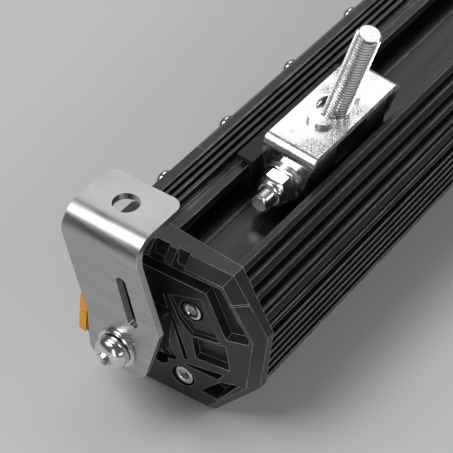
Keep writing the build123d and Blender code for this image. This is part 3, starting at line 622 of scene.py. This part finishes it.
def gland():
    """Cable gland: chamfered hexagon, ribbed dome nut and a rubber seal round the cable's way in."""
    low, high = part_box("cable_gland")
    centre = middle("cable_gland")
    foot = Vector((centre.x, low.y / MM, centre.z))
    tall = (high.y - low.y) / MM
    hexagon = six_sided(17.0)
    shape = Shape()
    shape.turned(foot, Y, Z, [
        (3.65, 0), (6.0, 0), (6.0, 3.0), (8.2, 3.0), (hexagon, 3.3), (hexagon, chamfered(17.0, 8.0, 8.2)),
        (7.9, 8.0), (3.65, 8.0)], ends=False)

    def ribbed(radius):
        return lambda angle: radius - 0.35 * max(0.0, cos(18 * angle))

    shape.turned(foot, Y, Z, [
        (3.65, 8.1), (7.4, 8.1), (ribbed(8.15), 8.4), (ribbed(8.15), tall - 4.0), (7.7, tall - 2.8),
        (6.9, tall - 1.2), (5.6, tall - 0.2), (5.0, tall), (4.7, tall - 0.3), (4.6, tall - 2.5),
        (3.65, tall - 2.5)], ends=False)
    shape.piece("cable_gland_ribbed", "nylon_black", "bar", "cable_gland")
    seal = Shape()
    seal.turned(foot, Y, Z, [
        (3.6, tall - 2.4), (4.55, tall - 2.4), (4.55, tall - 1.1), (4.3, tall - 0.8), (3.9, tall - 0.8),
        (3.6, tall - 1.1)], ends=False)
    seal.piece("cable_gland_seal", "rubber_black", "bar", "cable_gland")


def vent():
    """Breather vent: a ribbed cap with small openings round its edge."""
    low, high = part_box("breather_vent")
    centre = middle("breather_vent")
    foot = Vector((centre.x, low.y / MM, centre.z))
    tall = (high.y - low.y) / MM

    def notched(radius, deep):
        return lambda angle: radius - deep * (cos(8 * angle) > 0.55)

    shape = Shape()
    shape.turned(foot, Y, Z, [
        (6.0, 0), (6.0, 3.0), (notched(8.3, 1.0), 3.1), (notched(8.5, 1.0), 3.4), (notched(8.5, 1.0), 5.0),
        (8.5, 5.3), (8.5, tall - 1.4), (8.1, tall - 0.5), (7.2, tall - 0.1), (5.6, tall),
        (5.4, tall - 0.3), (2.0, tall - 0.3), (1.8, tall)])
    shape.piece("breather_vent_ribbed", "nylon_black", "bar", "breather_vent")


# ---- lamp optics ----

def emitters():
    """LED packages: a square base and a yellow dome in the middle of every reflector cup."""
    low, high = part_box("led_emitters")
    pitch = 21.0
    count = round((high.x - low.x) / MM / pitch) + 1
    first = -(count - 1) * pitch / 2
    middle_z = (low.z + high.z) / 2 / MM
    shape = Shape()

    def square(half):
        """Radius of a square with rounded corners."""
        return lambda angle: min(half / max(abs(cos(angle)), abs(sin(angle))), half * 1.28)

    for column in range(count):
        for row in (-0.5, 0.5):
            place = (first + column * pitch, high.y / MM, middle_z + row * pitch)
            shape.turned(place, -Y, Z, [
                (square(2.5), 0), (square(2.5), 0.3), (square(2.4), 0.38), (1.9, 0.38),
                (1.75, 0.52), (1.35, 0.62), (0.7, 0.68), (0.15, 0.7)])
    shape.piece("led_emitters_domed", "phosphor", "bar", "led_emitters")


# ---- everything in its place ----

for side, sign in SIDES:
    pivot_fasteners(side, sign)
    mount_fasteners(side, sign)
    stud(side, sign)
    cap_screws(side, sign)
    softened(f"end_cap_{side}", 0.45)
    softened(f"end_bracket_{side}", 0.4)
    finish(softened(f"u_bracket_{side}", 1.0, 4), "zinc_sheet")
    softened(f"sliding_block_{side}", 0.5)
    softened(f"bezel_end_{side}", 0.4)
    softened(f"accent_inserts_{side}", 0.35)
bezel_screws()
gland()
vent()
emitters()
softened("front_bezel", 0.4)
softened("led_board", 0.2, 1)
softened("driver_board", 0.2, 1)
softened("driver_components", 0.5)


# ---- floor, light and camera ----

def stage_floor():
    bpy.ops.mesh.primitive_plane_add(size=12, location=(0, 0, -0.0002))
    floor = bpy.context.object
    floor.name = "floor"
    s = Shader("floor_pale", (0.66, 0.66, 0.67), 0.75)
    s.bump(s.noise((260, 260, 260), 4), 0.0002, 0.25)
    floor.data.materials.append(s.mat)


def softbox(name, place, aim, size, power):
    lamp = bpy.data.lights.new(name, "AREA")
    lamp.shape = "RECTANGLE"
    lamp.size, lamp.size_y = size
    lamp.energy = power
    obj = bpy.data.objects.new(name, lamp)
    bpy.context.scene.collection.objects.link(obj)
    obj.location = place
    obj.rotation_euler = (Vector(place) - Vector(aim)).to_track_quat("Z", "Y").to_euler()


def lights():
    aim = (0.2, 0, 0.04)
    softbox("key", (0.9, -0.7, 1.5), aim, (0.9, 0.9), 17)
    softbox("overhead", (-0.72, -0.6, 1.12), aim, (1.3, 0.9), 4.5)
    softbox("behind_left", (-1.0, 1.1, 0.95), aim, (0.9, 0.3), 6)
    softbox("strip_end", (1.9, 0.5, 0.6), aim, (0.3, 1.2), 6)
    softbox("back_fill", (0.5, 2.0, 0.7), aim, (1.8, 0.25), 5)
    world = bpy.data.worlds.new("studio")
    world.use_nodes = True
    world.node_tree.nodes["Background"].inputs["Color"].default_value = (0.9, 0.92, 0.95, 1)
    world.node_tree.nodes["Background"].inputs["Strength"].default_value = 0.1
    bpy.context.scene.world = world
    bpy.context.scene.view_settings.view_transform = "Standard"


def camera():
    """Above the bar's right-hand end and behind it, with a slight roll."""
    azimuth, elevation, roll = radians(121.24), radians(46.52), radians(6.94)
    corner = Vector((260, 21, 78)) * MM     # top rear corner of the extrusion's right-hand end
    back = Vector((sin(azimuth) * cos(elevation), -cos(azimuth) * cos(elevation), sin(elevation)))
    level = Vector((0, 0, 1)).cross(back).normalized()
    upright = back.cross(level)
    right = level * cos(roll) + upright * sin(roll)
    up = back.cross(right)
    place = corner + Vector((393.6, 229.7, 500.7)) * MM
    data = bpy.data.cameras.new("camera")
    data.lens = 148.2
    data.sensor_width = 36.0
    data.clip_start = 0.01
    obj = bpy.data.objects.new("camera", data)
    bpy.context.scene.collection.objects.link(obj)
    turn = Matrix((right, up, back)).transposed().to_4x4()
    obj.matrix_world = Matrix.Translation(place) @ turn
    bpy.context.scene.camera = obj


stage_floor()
lights()
camera()
